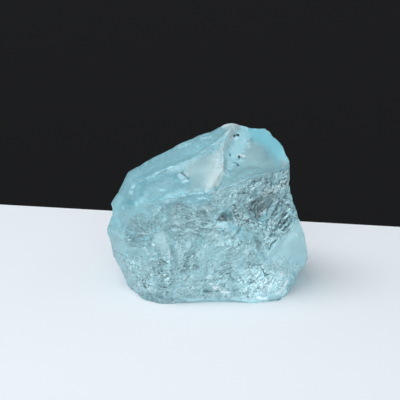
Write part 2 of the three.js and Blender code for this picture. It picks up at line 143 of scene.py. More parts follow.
PALE_STROKES = [
    # lit edge of the pit below the crest
    (0.17, 0.8, [(4.7, -1.7, 27.7), (5.4, -0.8, 27.7)]),
    # sharp edge of the ridge
    (0.15, 0.35, [(2.7, -5.0, 26.4), (2.3, -6.4, 25.2), (2.3, -8.2, 23.4), (2.0, -9.2, 22.3)]),
    # crushed crest
    (0.7, 0.4, [(2.9, 1.9, 29.5), (4.4, 0.7, 29.9), (5.7, 0.9, 29.5), (6.8, 1.8, 29.1)]),
    # fleck on the crown band
    (0.35, 0.35, [(-1.2, 0.7, 27.2), (0.2, 0.4, 27.6)]),
    # bright fleck in the scoop
    (0.23, 1, [(5.8, -2.1, 24.8), (6.5, -2.1, 24.5)]),
    # bright line of the pale chip
    (0.19, 1, [(-4.4, -7.1, 22.7), (-3.8, -7.9, 22.3)]),
    # pale chip beside the frosted facet
    (0.5, 0.9, [(-5.3, -7.5, 22.3), (-4.7, -8.4, 22.0), (-4.2, -9.5, 21.8)]),
    # flecks over the flank, the crown band and the deep lens
    (0.17, 0.35, [(-8.2, -9.6, 20.2), (-7.9, -9.9, 20.1)]),
    (0.35, 0.35, [(-14.7, -3.3, 18.0), (-13.9, -4.6, 18.1)]),
    (0.3, 0.35, [(-13.3, -8.4, 17.4), (-12.8, -9.2, 17.3)]),
    (0.22, 0.3, [(-16.0, -3.5, 15.2), (-15.7, -4.6, 15.2)]),
    (0.25, 0.9, [(-8.6, -9.4, 20.1), (-7.9, -9.8, 20.2)]),
    (0.3, 0.35, [(-7.9, -8.1, 21.4), (-6.6, -8.0, 21.9)]),
    (0.22, 0.6, [(-12.7, -4.6, 20.4), (-12.2, -4.8, 20.7)]),
    (0.2, 0.5, [(-11.4, -5.3, 21.2), (-10.7, -5.6, 21.5)]),
    (0.26, 0.45, [(-14.2, -3.2, 18.9), (-13.6, -4.1, 19.3)]),
    (0.4, 0.25, [(-5.3, 2.2, 25.2), (-3.4, 1.1, 26.1)]),
    (0.15, 0.7, [(-9.6, -5.1, 22.3), (-9.2, -5.6, 22.2)]),
    (0.15, 0.45, [(-7.4, -5.3, 23.1), (-6.7, -5.2, 23.4)]),
    (0.13, 0.5, [(-12.1, -5.3, 20.7), (-11.7, -5.6, 21.0)]),
    (0.15, 0.5, [(-9.6, -7.1, 21.2), (-9.4, -7.2, 21.3)]),
    # lit edge of the brow
    (0.2, 0.45, [(-1.7, -11.6, 19.0), (-1.0, -11.7, 19.3), (-0.2, -11.8, 18.9)]),
    # fleck in the speckled lens
    (0.09, 0.45, [(-12.0, -10.4, 12.3), (-11.5, -10.6, 12.1)]),
    # bright dot on the bevel
    (0.15, 0.9, [(-10.0, -11.8, 10.6), (-9.8, -12.0, 10.5)]),
    # dots below the bevel
    (0.2, 0.4, [(-11.3, -11.6, 9.3), (-10.9, -12.0, 8.9)]),
    (0.25, 0.45, [(-10.0, -12.6, 9.2), (-9.8, -12.8, 9.1)]),
    (0.15, 0.5, [(-11.8, -11.3, 9.5), (-11.4, -11.5, 9.5)]),
    # lit edges of the bevel
    (0.13, 0.6, [(-7.2, -13.4, 9.9), (-6.8, -13.6, 9.2), (-6.3, -13.6, 8.4)]),
    (0.11, 0.6, [(-9.3, -13.9, 7.8), (-8.6, -14.1, 8.0)]),
    # long lit step of the torn wall
    (0.5, 0.45, [(9.6, -8.6, 18.9), (11.5, -7.8, 19.4), (13.2, -6.1, 19.7), (14.5, -5.0, 20.3)]),
    # edge of the purple chip
    (0.12, 0.8, [(10.7, -7.4, 16.2), (9.9, -7.8, 15.4), (9.0, -8.3, 15.0)]),
    # thin lit edges of the dark knot
    (0.11, 0.8, [(8.6, -9.4, 15.1), (9.3, -7.9, 15.3), (10.6, -7.6, 15.9)]),
    (0.11, 0.5, [(6.9, -10.1, 17.8), (8.0, -9.5, 18.2), (8.9, -8.8, 18.3)]),
    # upright lit edge in the lower front
    (0.11, 0.6, [(6.7, -13.9, 10.1), (6.8, -13.8, 9.4)]),
    # lit edge of the right facet
    (0.16, 0.3, [(16.2, -5.3, 10.5), (16.5, -4.8, 9.7)]),
    # pale bottom of the pool
    (0.35, 0.4, [(1.6, -13.3, 14.5), (3.1, -13.4, 14.4)]),
    (0.3, 0.25, [(1.0, -13.2, 14.3), (3.1, -13.4, 14.0)]),
    # crushed places of the bright corner, the bright foot and the lower left
    (0.23, 0.7, [(9.7, -13.2, 7.0), (10.0, -13.1, 6.5)]),
    (0.34, 0.5, [(12.1, -10.2, 6.6), (12.6, -10.0, 5.8)]),
    (0.23, 0.75, [(8.2, -13.5, 3.4), (8.4, -13.6, 3.3)]),
    (0.25, 0.8, [(13.3, -10.5, 4.5), (13.9, -9.6, 4.4)]),
    (0.23, 0.7, [(12.8, -11.2, 3.3), (13.2, -10.9, 2.7)]),
    (0.19, 0.9, [(13.4, -10.8, 1.7), (14.0, -10.3, 2.4), (14.6, -9.5, 2.9)]),
    (0.42, 0.45, [(9.4, -13.8, 2.9), (10.7, -12.8, 2.8)]),
    (0.3, 0.4, [(9.6, -13.6, 2.0), (10.8, -12.6, 1.5)]),
    (0.23, 0.8, [(8.9, -13.7, 1.1), (10.4, -12.6, 0.5)]),
    (0.23, 0.8, [(12.7, -11.4, 1.1), (13.3, -10.9, 1.4)]),
    (0.45, 0.45, [(11.1, -12.3, 2.2), (11.5, -12.1, 3.5)]),
    (0.19, 0.6, [(6.2, -13.2, 2.6), (6.9, -13.3, 2.2)]),
    (0.26, 0.4, [(6.5, -13.1, 6.0), (7.2, -13.2, 6.4)]),
    (0.38, 0.4, [(9.6, -13.6, 4.0), (11.5, -12.5, 4.2)]),
    (0.19, 0.6, [(-0.7, -13.5, 4.8), (0.1, -13.4, 4.9)]),
    (0.17, 0.9, [(0.8, -13.2, 2.9), (2.0, -13.2, 2.6)]),
    (0.17, 0.7, [(2.6, -13.3, 2.1), (3.7, -13.4, 1.8)]),
    (0.11, 0.7, [(0.1, -13.4, 3.7), (0.8, -13.3, 3.4)]),
    (0.23, 0.5, [(-13.2, -10.5, 2.4), (-13.1, -9.7, 1.4)]),
    (0.16, 0.4, [(-11.3, -12.4, 2.3), (-10.4, -12.7, 2.4)]),
    (0.15, 0.5, [(-14.7, -9.2, 4.8), (-14.8, -8.0, 3.6)]),
    # glints in the scoop
    (0.13, 0.6, [(4.4, -11.2, 21.5), (4.9, -10.9, 21.5)]),
    (0.15, 0.5, [(3.4, -6.2, 23.3), (3.5, -6.1, 23.1)]),
    # lit edge at the far left
    (0.13, 0.5, [(-18.1, 3.0, 14.9), (-18.4, 2.0, 14.0), (-18.0, -0.7, 13.4)]),
]

POINT_EVERY = 0.15  # millimetres between the points that a stroke is laid out in
POINTS_TRIED = 4  # of this many nearest points, the one whose stroke has the nearest edge counts


def stroke_points(strokes):
    """Every stroke as close-set points on the surface, each with its half width and its strength."""
    found = []
    for half_width, strength, path in strokes:
        for start, end in zip(path, path[1:]):
            start, end = Vector(start), Vector(end)
            steps = max(2, math.ceil((end - start).length / POINT_EVERY))
            for step in range(steps + 1):
                spot = start.lerp(end, step / steps) * MM
                found.append((stone.closest_point_on_mesh(spot)[1] / MM, half_width, strength))
    return found


def nearness(points, spots):
    """How far each spot lies from the nearest stroke's edge, less than 0 on the stroke, and its strength."""
    tree = kdtree.KDTree(len(points))
    for index, (place, _, _) in enumerate(points):
        tree.insert(place, index)
    tree.balance()
    reach, strength = np.empty(len(spots)), np.empty(len(spots))
    for index, spot in enumerate(spots):
        nearest = min(tree.find_n(spot, POINTS_TRIED), key=lambda hit: hit[2] - points[hit[1]][1])
        reach[index] = nearest[2] - points[nearest[1]][1]
        strength[index] = points[nearest[1]][2]
    return reach, strength


def read(items, name):
    """Three numbers for each of the mesh's vertices or faces, one row to each."""
    flat = np.empty(len(items) * 3)
    items.foreach_get(name, flat)
    return flat.reshape(-1, 3)


def corners():
    """Every corner's place in millimetres and the way that the surface faces there."""
    return read(stone.data.vertices, "co") / MM, read(stone.data.vertices, "normal")


# The mesh is finer round the strokes, so that they come out crisp.
FINE_WITHIN = 0.15  # millimetres from a stroke's edge
bpy.ops.object.mode_set(mode="EDIT")
bpy.ops.mesh.select_all(action="DESELECT")
bpy.ops.object.mode_set(mode="OBJECT")
middles = read(stone.data.polygons, "center") / MM
reach, _ = nearness(stroke_points(DARK_STROKES + PALE_STROKES), middles)
stone.data.polygons.foreach_set("select", reach < FINE_WITHIN)
bpy.ops.object.mode_set(mode="EDIT")
bpy.ops.mesh.subdivide(number_cuts=1)
bpy.ops.object.mode_set(mode="OBJECT")

# Each broken face: the corners of its outline in millimetres, and how it broke. SCOOP and FRONT are drawn as
# seen from the front (x, z), and ABOVE as seen from above (x, y). Where outlines overlap, the first that is
# listed hides the others.
#   blend   over how many millimetres it gives way to the next
#   frost   how matt it is
#   chalk   how much of it is crushed white
#   torn    how rough it is
#   tone    how light it is painted: how much light it passes, with painted light and shade on some faces
#   blue    how much bluer it is than the rest
#   slant   1 where its steps run up to the right, 0 where they lie level
#   worn    how far its facets are smoothed away
SCOOP = [
    # top of the ridge
    ([(2.4, 29.5), (3.6, 30.2), (5.2, 30.2), (6.0, 29.6), (5.0, 29.2), (3.9, 29.0), (3.2, 29.1)],
     dict(blend=0.45, frost=0.6, chalk=0.7, torn=0.1, tone=0.7, blue=-0.5, slant=0, worn=0.3)),
    # foot of the ridge
    ([(-0.4, 20.8), (0.4, 20.9), (1.3, 21.4), (2.1, 22.2), (1.8, 23.2), (0.6, 22.8), (-0.1, 21.9)],
     dict(blend=0.35, frost=0.6, chalk=0.9, torn=0.05, tone=0.67, blue=-0.8, slant=0, worn=0.9)),
    # ridge band
    ([(5.3, 29.4), (4.5, 28.1), (3.9, 27.6), (3.2, 27.0), (2.7, 26.6), (2.4, 25.8), (2.5, 24.5),
      (2.7, 23.2), (2.2, 22.1), (1.0, 21.2), (-0.1, 20.9), (0.2, 22.2), (0.8, 23.4), (1.3, 24.5),
      (1.7, 25.6), (2.0, 26.6), (2.7, 27.4), (3.5, 28.2), (4.4, 29.1)],
     dict(blend=0.35, frost=0.6, chalk=0.85, torn=0.3, tone=0.69, blue=-0.5, slant=0, worn=0.2)),
    # pale side of the ridge
    ([(2.5, 26.4), (2.3, 24.0), (2.2, 22.4), (0.6, 21.6), (-0.8, 22.0), (-0.8, 23.2), (0.0, 24.6),
      (1.2, 25.8)],
     dict(blend=0.9, frost=0.6, chalk=0.62, torn=0.1, tone=0.74, blue=-0.5, slant=0, worn=0.4)),
    # near side of the scoop, its tone raised as painted light against the shade it would show
    ([(2.8, 22.9), (2.7, 25.6), (3.2, 26.9), (4.3, 28.2), (5.4, 29.3), (7.0, 29.2), (7.9, 27.4),
      (7.4, 26.0), (6.2, 24.9), (5.0, 23.7), (4.2, 22.8)],
     dict(blend=0.9, frost=0.5, chalk=0.6, torn=0, tone=1.12, blue=0.6, slant=0, worn=1)),
    # heart of the scoop
    ([(5.2, 25.5), (7.1, 26.6), (9.2, 26.0), (10.3, 24.7), (8.9, 23.8), (6.3, 23.8)],
     dict(blend=0.9, frost=0.3, chalk=0.5, torn=0, tone=0.69, blue=0, slant=0, worn=1)),
    # blue rim
    ([(5.2, 28.4), (6.2, 30.0), (9.0, 30.0), (12.5, 29.0), (16.0, 26.0), (16.0, 23.8), (13.3, 22.9),
      (11.8, 23.8), (10.2, 25.5), (9.0, 26.7), (7.4, 27.3), (5.8, 27.0)],
     dict(blend=0.7, frost=0.6, chalk=0.5, torn=0, tone=0.86, blue=1.9, slant=0, worn=0.8)),
    # wall of the scoop
    ([(5.0, 28.6), (4.3, 27.8), (3.4, 26.9), (2.9, 26.3), (2.6, 25.5), (2.7, 24.1), (2.3, 22.4),
      (1.2, 21.2), (1.5, 20.7), (3.8, 21.5), (6.8, 22.4), (9.8, 23.6), (11.8, 24.0), (10.2, 25.6),
      (9.0, 26.8), (7.4, 27.4), (5.8, 27.1)],
     dict(blend=0.4, frost=0.2, chalk=0.4, torn=0, tone=0.69, blue=0.3, slant=0, worn=1)),
]
FRONT = [
    # glassy foot
    ([(-4.0, 0.8), (0.0, 0.8), (4.0, 0.7), (8.0, 0.9), (13.0, 1.0), (13.0, -1.0), (-4.0, -1.0)],
     dict(blend=0.4, frost=0.4, chalk=0.5, torn=0.1, tone=1.2, blue=0.2, slant=0, worn=0)),
    # step under the scoop
    ([(0.9, 20.3), (2.0, 20.6), (3.4, 20.6), (5.2, 21.1), (6.6, 20.9), (6.4, 19.2), (5.2, 17.9),
      (3.4, 17.3), (1.6, 17.5), (0.8, 18.1)],
     dict(blend=0.6, frost=0.5, chalk=0.38, torn=0.6, tone=1.14, blue=0, slant=1, worn=0)),
    # grey of the front
    ([(-6.2, 9.6), (-4.1, 10.4), (-1.6, 10.4), (-1.0, 8.7), (-1.6, 6.5), (-3.7, 5.7), (-5.2, 6.9)],
     dict(blend=0.9, frost=0.45, chalk=0.36, torn=0.7, tone=0.86, blue=0, slant=1, worn=0)),
    # grey of the lower left
    ([(-12.6, 7.0), (-10.6, 8.0), (-9.4, 7.4), (-9.8, 5.4), (-11.9, 4.7)],
     dict(blend=0.8, frost=0.55, chalk=0.4, torn=0.62, tone=0.88, blue=-0.1, slant=0, worn=0)),
    # black core of the dark patch, painted shade
    ([(2.0, 15.7), (2.4, 16.6), (3.1, 16.9), (3.5, 15.9), (3.3, 15.45), (1.9, 15.45)],
     dict(blend=0.15, frost=0.3, chalk=0, torn=0.3, tone=0.1, blue=0.5, slant=1, worn=0)),
    # dark patch, the painted shade of a small smooth hollow that looks dark
    ([(1.3, 15.4), (2.1, 16.7), (3.0, 17.3), (4.1, 16.7), (4.2, 15.4)],
     dict(blend=0.18, frost=0.3, chalk=0, torn=0.5, tone=0.3, blue=0.1, slant=1, worn=0)),
    # grey beside the dark patch
    ([(3.3, 15.2), (3.5, 17.1), (6.2, 17.2), (6.4, 15.4)],
     dict(blend=0.4, frost=0.6, chalk=0.35, torn=1, tone=0.92, blue=-0.5, slant=1, worn=0)),
    # shade beside the dark patch
    ([(-0.9, 18.0), (1.0, 18.1), (1.6, 16.6), (0.9, 15.1), (-0.8, 15.2), (-1.3, 16.5)],
     dict(blend=0.8, frost=0.5, chalk=0.28, torn=0.75, tone=0.84, blue=-0.1, slant=0.5, worn=0)),
    # light under the dark patch
    ([(-1.0, 13.6), (0.7, 14.0), (1.7, 13.3), (1.6, 11.9), (0.0, 11.6), (-1.0, 12.3)],
     dict(blend=0.8, frost=0.5, chalk=0.45, torn=0.6, tone=1.02, blue=-0.5, slant=0.5, worn=0)),
    # shard
    ([(7.8, 12.7), (9.4, 11.1), (9.3, 10.4), (8.9, 9.7), (8.5, 10.2), (8.3, 11.3)],
     dict(blend=0.1, frost=0.25, chalk=0.5, torn=0.1, tone=0.42, blue=-0.3, slant=1, worn=0)),
    # purple chip
    ([(8.9, 17.2), (10.3, 17.3), (10.7, 16.4), (9.8, 15.5), (8.9, 15.3)],
     dict(blend=0.12, frost=0.3, chalk=0.4, torn=0.6, tone=0.33, blue=-0.4, slant=1, worn=0)),
    # dark knot
    ([(8.7, 18.5), (9.6, 18.8), (11.5, 18.9), (11.9, 17.7), (11.0, 16.8), (10.8, 16.0), (9.7, 15.3),
      (8.7, 14.5), (7.8, 14.6), (6.9, 16.0), (6.1, 17.6), (7.4, 18.0)],
     dict(blend=0.5, frost=0.6, chalk=0.3, torn=1.15, tone=0.72, blue=-0.3, slant=1, worn=0)),
    # shelf
    ([(9.4, 12.8), (12.5, 12.7), (15.4, 12.4), (15.6, 11.2), (13.0, 11.0), (10.6, 11.0), (9.3, 11.7)],
     dict(blend=0.5, frost=0.4, chalk=0.62, torn=0.7, tone=1.15, blue=0, slant=1, worn=0)),
    # streaked side
    ([(10.8, 16.5), (12.3, 18.3), (16.5, 18.8), (17.0, 16.0), (17.0, 13.3), (13.6, 11.9), (12.0, 11.1),
      (10.7, 9.7), (9.9, 10.4), (9.6, 11.8), (9.7, 13.8), (10.8, 14.7)],
     dict(blend=0.5, frost=0.6, chalk=0.32, torn=0.85, tone=1.05, blue=0, slant=1, worn=0)),
    # torn wall
    ([(3.1, 20.7), (5.6, 21.6), (8.4, 22.6), (11.0, 23.2), (16.0, 23.6), (16.0, 17.3), (11.9, 17.7),
      (8.7, 18.5), (6.1, 17.6), (3.1, 17.2), (2.5, 18.1)],
     dict(blend=0.25, frost=0.6, chalk=0.25, torn=0.9, tone=1.2, blue=0, slant=1, worn=0.3)),
    # middle of the wall
    ([(6.1, 17.6), (6.9, 16.0), (7.8, 14.6), (8.7, 14.5), (9.7, 13.8), (9.6, 11.8), (9.9, 10.4),
      (9.4, 9.2), (9.0, 9.9), (9.4, 11.0), (9.3, 11.5), (7.9, 12.6), (7.2, 13.3), (5.6, 13.6),
      (3.9, 15.2), (4.0, 16.6), (4.7, 17.1)],
     dict(blend=0.5, frost=0.6, chalk=0.42, torn=1, tone=1.14, blue=-0.2, slant=1, worn=0)),
    # wisps beside the pool
    ([(-7.2, 17.8), (-11.6, 17.6), (-11.4, 16.3), (-9.0, 15.5), (-7.0, 14.4)],
     dict(blend=0.8, frost=0.35, chalk=0.35, torn=0.45, tone=0.92, blue=0.4, slant=0, worn=0)),
    # blue brow
    ([(-6.6, 18.3), (-5.6, 20.0), (-3.0, 20.5), (0.2, 20.6), (1.2, 19.6), (0.8, 18.3), (-0.8, 17.7),
      (-2.5, 17.7)],
     dict(blend=0.9, frost=0.3, chalk=0.35, torn=0.3, tone=1.1, blue=1.0, slant=0, worn=0)),
    # pool
    ([(-7.6, 17.7), (-5.1, 18.2), (-2.3, 18.8), (0.2, 19.5), (2.3, 20.8), (3.4, 20.7), (2.5, 18.1),
      (3.1, 17.2), (1.8, 15.6), (0.7, 14.1), (1.5, 13.3), (-0.1, 11.9), (-2.3, 11.1), (-5.2, 10.8),
      (-6.2, 11.5), (-7.3, 14.1)],
     dict(blend=0.4, frost=0.5, chalk=0.3, torn=0.6, tone=0.88, blue=0, slant=0, worn=0)),
    # pale strip, painted light on a face that turns down and away from the lamps
    ([(-7.3, 8.4), (-6.0, 7.8), (-5.2, 4.5), (-5.4, 1.0), (-7.2, 0.8), (-7.1, 4.5)],
     dict(blend=1.4, frost=0.4, chalk=0.4, torn=0.6, tone=1.25, blue=0, slant=0, worn=0)),
    # lower front
    ([(-6.2, 11.5), (-2.3, 11.1), (-0.1, 11.9), (1.5, 13.3), (3.8, 13.6), (7.2, 13.3), (7.9, 12.6),
      (8.6, 10.2), (9.4, 9.2), (9.6, 7.6), (6.3, 7.9), (4.9, 6.3), (4.9, -1.0), (-5.9, -1.0),
      (-6.2, 4.6), (-5.5, 7.7), (-6.6, 9.9)],
     dict(blend=1.3, frost=0.45, chalk=0.38, torn=0.55, tone=1.02, blue=0, slant=1, worn=0)),
    # bright corner
    ([(8.8, 5.6), (10.8, 7.2), (13.6, 7.0), (15.4, 4.4), (14.6, -1.0), (8.8, -1.0)],
     dict(blend=1.3, frost=0.5, chalk=0.7, torn=0.5, tone=1.2, blue=0.2, slant=1, worn=0)),
    # bright foot
    ([(4.9, 6.3), (6.3, 7.9), (9.6, 7.6), (10.3, 8.2), (13.1, 7.0), (15.5, 4.4), (15.2, 3.4),
      (14.5, -1.0), (4.9, -1.0)],
     dict(blend=1.8, frost=0.5, chalk=0.66, torn=0.6, tone=1.0, blue=0.2, slant=1, worn=0)),
    # right facet
    ([(13.6, 11.9), (15.0, 13.3), (18.0, 13.3), (21.0, 8.0), (21.0, 4.3), (17.7, 2.0), (15.5, 4.1),
      (13.1, 7.0), (10.3, 8.2), (9.9, 10.4), (10.7, 9.7), (12.0, 11.1)],
     dict(blend=0.3, frost=0.3, chalk=0.5, torn=0, tone=1.03, blue=0.1, slant=1, worn=0.8)),
    # dark foot
    ([(-12.6, 1.6), (-9.5, 1.7), (-8.6, 2.1), (-7.0, 1.3), (-4.5, 0.5), (-2.0, -1.0), (-13.5, -1.0)],
     dict(blend=0.4, frost=0.3, chalk=0.3, torn=0.3, tone=0.92, blue=0.2, slant=0, worn=0)),
    # heavy speckle
    ([(-9.3, 9.4), (-7.3, 9.0), (-6.2, 7.9), (-5.5, 5.5), (-6.3, -1.0), (-9.2, -1.0), (-9.5, 4.4),
      (-10.6, 6.5)],
     dict(blend=1.2, frost=0.6, chalk=0.3, torn=0.9, tone=1.12, blue=0, slant=0, worn=0)),
    # lower left
    ([(-16.5, 6.8), (-12.4, 7.8), (-10.6, 7.6), (-9.3, 9.4), (-10.6, 6.5), (-9.5, 4.4), (-9.2, -1.0),
      (-14.6, -1.0)],
     dict(blend=1.0, frost=0.55, chalk=0.46, torn=0.62, tone=1.12, blue=0, slant=0, worn=0)),
    # bevel
    ([(-10.2, 11.3), (-9.1, 12.9), (-7.8, 13.1), (-6.8, 10.7), (-6.6, 8.8), (-7.3, 9.0), (-9.3, 9.4)],
     dict(blend=0.2, frost=0.6, chalk=0.4, torn=0.2, tone=0.92, blue=-0.2, slant=0, worn=0.3)),
    # speckled lens
    ([(-14.7, 13.4), (-13.5, 15.5), (-10.5, 15.2), (-7.8, 14.9), (-7.8, 13.1), (-9.1, 12.9),
      (-10.2, 11.3), (-12.4, 10.4), (-14.7, 10.2), (-15.5, 11.4)],
     dict(blend=1.1, frost=0.3, chalk=0.28, torn=0.42, tone=0.82, blue=0.1, slant=0, worn=0.3)),
    # deep lens
    ([(-21.0, 22.0), (-11.8, 21.5), (-11.2, 19.0), (-10.5, 18.4), (-7.8, 17.7), (-7.6, 14.8),
      (-10.5, 15.2), (-13.5, 15.5), (-14.7, 13.4), (-15.5, 11.4), (-16.7, 11.4), (-21.0, 11.2)],
     dict(blend=1.2, frost=0.38, chalk=0.4, torn=0, tone=0.91, blue=0.9, slant=0, worn=1)),
    # left facet
    ([(-21.0, 10.8), (-16.7, 11.4), (-15.5, 11.4), (-14.7, 10.2), (-15.5, 6.8), (-14.6, -1.0),
      (-21.0, -1.0)],
     dict(blend=0.35, frost=0.3, chalk=0.35, torn=0, tone=1, blue=0.1, slant=0, worn=0.6)),
    # left middle
    ([(-14.7, 10.2), (-12.4, 10.4), (-10.2, 11.3), (-9.3, 9.4), (-10.6, 7.6), (-12.4, 7.8), (-15.5, 6.8)],
     dict(blend=0.5, frost=0.4, chalk=0.3, torn=0.2, tone=1, blue=0, slant=0, worn=0.3)),
]
ABOVE = [
    # wisps over the brow
    ([(-11.5, -11.0), (-8.6, -10.2), (-5.5, -11.0), (-3.3, -11.4), (0.2, -11.9), (0.2, -13.0),
      (-7.6, -13.4), (-11.5, -12.6)],
     dict(blend=0.7, frost=0.3, chalk=0.42, torn=0.4, tone=1.0, blue=1.3, slant=0.1, worn=0.3)),
    # scoop
    ([(5.8, -0.1), (10.0, 2.3), (12.8, 1.8), (13.9, 0.5), (16.0, -1.0), (14.0, -6.2), (11.0, -8.4),
      (7.4, -10.1), (3.4, -11.4), (2.4, -9.7), (2.4, -6.6), (2.8, -4.9), (4.5, -2.1)],
     dict(blend=0.4, frost=0.45, chalk=0.42, torn=0, tone=0.7, blue=0.2, slant=0, worn=1)),
    # frosted facet, its tone lowered as painted shade against the lamp light that it catches
    ([(-4.1, -6.5), (-1.6, -5.5), (1.4, -4.2), (2.1, -5.1), (1.8, -6.8), (1.8, -9.3), (0.4, -12.1),
      (-1.6, -11.8), (-3.3, -10.9)],
     dict(blend=0.6, frost=0.6, chalk=0.45, torn=0, tone=0.67, blue=0, slant=0, worn=0.5)),
    # crown band
    ([(-17.5, 6.5), (-1.6, 5.5), (5.5, 4.5), (4.1, -1.8), (4.5, -1.9), (3.2, -4.0), (1.2, -4.0),
      (-1.6, -5.4), (-4.1, -6.3), (-7.0, -6.2), (-10.7, -6.0), (-14.5, -2.5), (-20.0, 3.0)],
     dict(blend=0.6, frost=0.35, chalk=0.45, torn=0.2, tone=0.85, blue=1.0, slant=0, worn=0.9)),
    # flank, its tone lowered as painted shade against the lamp light that it catches
    ([(-17.5, 1.4), (-14.5, -2.5), (-10.7, -6.0), (-7.0, -6.2), (-4.1, -6.5), (-3.3, -10.9),
      (-1.6, -11.8), (0.2, -11.9), (-2.3, -12.5), (-7.6, -12.5), (-10.5, -11.5), (-20.0, -4.0),
      (-20.0, 3.0)],
     dict(blend=0.8, frost=0.6, chalk=0.28, torn=0.25, tone=0.77, blue=1.4, slant=0, worn=1)),
]

# Everywhere else, such as on the back and the sides, the stone is glassy and torn by turns.
GLASSY = dict(frost=0.2, chalk=0.28, torn=0.0, tone=1, blue=0.5, slant=0, worn=0.6)
TORN = dict(frost=0.55, chalk=0.35, torn=0.9, tone=1.0, blue=0.1, slant=0, worn=0)

# The limits between the faces wander, broadly by the sway and finely by the wobble, so far for each
# millimetre of the blend. A lump is the width in millimetres of one bend or patch.
SWAY, SWAY_LUMP, SWAY_SEEDS = 0.7, 2.0, (3, 40, 77)
WOBBLE, WOBBLE_LUMP, WOBBLE_SEED = 0.7, 1.1, 19
TURNS_LUMP, TURNS_SEED = 8.0, 61  # where glassy and torn take turns
# A torn face has calm places, and others that are rougher by so much. The listed faces are more speckled.
CALM, ROUGHER_BY, ROUGHER_LUMP, ROUGHER_SEED = 0.66, 0.48, (2.4, 1.8, 1.3), 88
SPECKLE, MORE_SPECKLE = 0.35, 0.85


def inset(spots, outline):
    """How far each spot lies inside an outline; outside it the distance is negative."""
    nearest = np.full(len(spots), np.inf)
    within = np.zeros(len(spots), bool)
    for start, end in zip(outline, outline[1:] + outline[:1]):
        side = np.subtract(end, start)
        offset = spots - start
        along = np.clip(offset @ side / (side @ side), 0, 1)
        nearest = np.minimum(nearest, np.linalg.norm(offset - along[:, None] * side, axis=1))
        spans = (start[1] > spots[:, 1]) != (end[1] > spots[:, 1])
        within ^= spans & (offset[:, 0] < offset[:, 1] * side[0] / (side[1] or 1))
    return np.where(within, nearest, -nearest)


def ease(value, start, end):
    """0 before start, 1 past end and smooth between."""
    t = np.clip((value - start) / (end - start), 0, 1)
    return t * t * (3 - 2 * t)


def lumps(spots, seed, fading=0.8, finer=2.0, layers=3):
    """Smooth noise between about -1 and 1 at each spot, one lump to the unit, with finer layers on it."""
    return np.array([noise.fractal(Vector(spot), fading, finer, layers) for spot in spots + seed])


def chips(spots):
    """Flat chips at random tilts, one to the unit: how high each spot stands on its own chip."""
    heights = np.empty(len(spots))
    for index, spot in enumerate(spots):
        middle = noise.voronoi(Vector(spot))[1][0]
        heights[index] = noise.cell_vector(middle).dot(Vector(spot) - middle)
    return heights


# Which list a place belongs to: ABOVE covers what faces up and lies high, and FRONT and SCOOP fade out where
# the surface turns to the back. On the right they end sooner, where the front wall turns the corner.
places, facing = corners()
on_top = ease(facing[:, 2], 0.5, 0.75) * ease(places[:, 2], 15.5, 17.0)
to_the_right = ease(places[:, 0], 5.0, 12.0)
towards_front = 1 - ease(facing[:, 1] + 0.35 * to_the_right, 0.1, 0.35)
towards_front *= 1 - to_the_right * ease(places[:, 1], 2.0, 4.0)
seen_from_front = (1 - on_top) * towards_front
seen_from_above = ease(facing[:, 2], 0.3, 0.55) * ease(places[:, 2], 14.0, 15.5)

# The finish of every place, as shares of the faces that it lies in.
sway = SWAY * np.stack([lumps(places / SWAY_LUMP, seed) for seed in SWAY_SEEDS], 1)
wobble = WOBBLE * lumps(places / WOBBLE_LUMP, WOBBLE_SEED)
finish = {name: np.zeros(len(places)) for name in TORN}
covered = np.zeros(len(places))
for faces, columns, turned in (
    (SCOOP, (0, 2), towards_front), (FRONT, (0, 2), seen_from_front), (ABOVE, (0, 1), seen_from_above)
):
    for outline, kind in faces:
        blend = kind["blend"]
        inside = inset((places + blend * sway)[:, columns], outline)
        share = ease(inside + blend * wobble, -blend, blend) * turned * (1 - covered)
        covered += share
        for name in finish:
            finish[name] += share * kind[name]
glassy = ease(lumps(places / TURNS_LUMP, TURNS_SEED), -0.2, 0.2)
for name in finish:
    finish[name] += (1 - covered) * (glassy * GLASSY[name] + (1 - glassy) * TORN[name])
finish["torn"] *= CALM + ROUGHER_BY * ease(lumps(places / ROUGHER_LUMP, ROUGHER_SEED), -0.3, 0.3)
# The speckle is how strongly a torn place is painted with specks of shade and sparkle.
finish["speckle"] = finish["torn"] * (SPECKLE + MORE_SPECKLE * covered)

# The glassy faces are smoothed, but not at the pale strokes, the crushed edges and painted highlights that
# keep their ridge, nor where the crest turns back.
SMOOTHINGS = 70
FORWARD_AND_UP = (0, -0.96, 0.28)
pale_reach, _ = nearness(stroke_points(PALE_STROKES), places)
worn = finish.pop("worn") * ease(pale_reach, -0.1, 0.3) * ease(facing @ FORWARD_AND_UP, 0.02, 0.22)
smoothed = stone.vertex_groups.new(name="worn")
for tenths in range(1, 11):
    smoothed.add(np.nonzero(np.round(worn * 10) == tenths)[0].tolist(), tenths / 10, "REPLACE")
wear = stone.modifiers.new("wear", "SMOOTH")
wear.vertex_group, wear.factor, wear.iterations = "worn", 0.5, SMOOTHINGS
bpy.ops.object.modifier_apply(modifier="wear")
stone.vertex_groups.clear()

# The torn relief and the dark strokes, cut into the stone so that nothing stands proud of the solid. The
# torn faces have fine steps and flat chips along the grain, which lies level on some faces and runs up to
# the right on others. Sizes are in millimetres.
CUT = 0.3
ALL_OVER, BY_STEPS, BY_CHIPS, BY_STROKES = 0.35, 0.35, 0.35, 0.4  # what takes which share of the cut
LEVEL_STEP, LEVEL_SEED = (2.3, 1.4, 0.6), 11
RISING_STEP, RISING_SEED = (2.4, 1.4, 0.6), 29
CHIP = (1.5, 1.1, 0.75)
GRAIN_TURN = math.radians(45)

